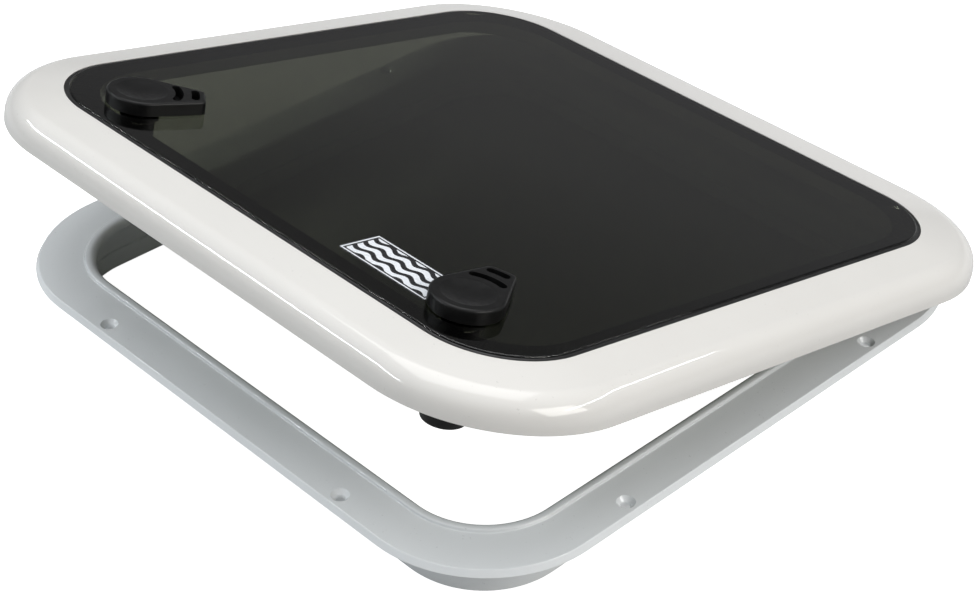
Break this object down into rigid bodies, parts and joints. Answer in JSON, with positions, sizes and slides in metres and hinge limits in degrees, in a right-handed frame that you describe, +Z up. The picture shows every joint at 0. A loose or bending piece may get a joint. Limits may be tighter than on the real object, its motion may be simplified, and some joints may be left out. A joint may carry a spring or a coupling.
{
  "type": "deck hatch",
  "caption": "Square low-profile deck hatch: rounded white lid with a smoked lens on a flanged base, friction hinges at the rear and lever latches at the free edge.",
  "frame": {"origin": "middle of the deck screw pattern, on the deck plane under the base flange", "axes": "+Z up out of the deck, +Y towards the hinges, X along the hinge axis; the free edge with its latches is at -Y"},
  "size_m": [0.5368, 0.5414, 0.1862],
  "materials": {
    "white_paint": "gloss white powder coat on cast aluminium",
    "smoked_acrylic": "gloss",
    "black_sealant": "satin",
    "gasket_rubber": "matte",
    "badge_print": "satin",
    "hinge_casting": "satin",
    "stainless": "satin",
    "bearing_plastic": "satin",
    "black_nylon": "satin"
  },
  "bodies": {
    "base": {"base_frame": "white_paint", "left_hinge_base_leaf": "hinge_casting", "left_hinge_pin": "stainless", "left_hinge_lock_nut": "stainless", "left_hinge_friction_washers": "stainless", "left_hinge_base_screws": "stainless", "right_hinge_base_leaf": "hinge_casting", "right_hinge_pin": "stainless", "right_hinge_lock_nut": "stainless", "right_hinge_friction_washers": "stainless", "right_hinge_base_screws": "stainless"},
    "lid": {"lid_frame": "white_paint", "lens_panel": "smoked_acrylic", "lens_seal": "black_sealant", "lid_gasket": "gasket_rubber", "badge": "badge_print", "left_hinge_lid_leaf": "hinge_casting", "left_hinge_bush": "bearing_plastic", "left_hinge_lid_screws": "stainless", "left_lens_bush": "bearing_plastic", "left_bush_seal": "gasket_rubber", "left_bush_nut": "black_nylon", "left_spindle_ring": "gasket_rubber", "right_hinge_lid_leaf": "hinge_casting", "right_hinge_bush": "bearing_plastic", "right_hinge_lid_screws": "stainless", "right_lens_bush": "bearing_plastic", "right_bush_seal": "gasket_rubber", "right_bush_nut": "black_nylon", "right_spindle_ring": "gasket_rubber"},
    "left_latch": {"left_outer_handle": "black_nylon", "left_spindle": "stainless", "left_thrust_washer": "stainless", "left_inner_handle": "black_nylon", "left_handle_bolt": "stainless", "left_bolt_cap": "black_nylon"},
    "right_latch": {"right_outer_handle": "black_nylon", "right_spindle": "stainless", "right_thrust_washer": "stainless", "right_inner_handle": "black_nylon", "right_handle_bolt": "stainless", "right_bolt_cap": "black_nylon"}
  },
  "joints": [
    {"name": "lid_hinge", "type": "hinge", "parent": "base", "child": "lid", "pos_m": [0, 0.272, 0.012], "axis": [-1, 0, 0], "range_deg": [-13.13, 76.87]},
    {"name": "left_latch_turn", "type": "hinge", "parent": "lid", "child": "left_latch", "pos_m": [-0.1587, -0.17675, 0.13475], "axis": [0, 0.2272, 0.9739], "range_deg": [-4, 126]},
    {"name": "right_latch_turn", "type": "hinge", "parent": "lid", "child": "right_latch", "pos_m": [0.1587, -0.17675, 0.13475], "axis": [0, 0.2272, 0.9739], "range_deg": [-105, 25]}
  ]
}
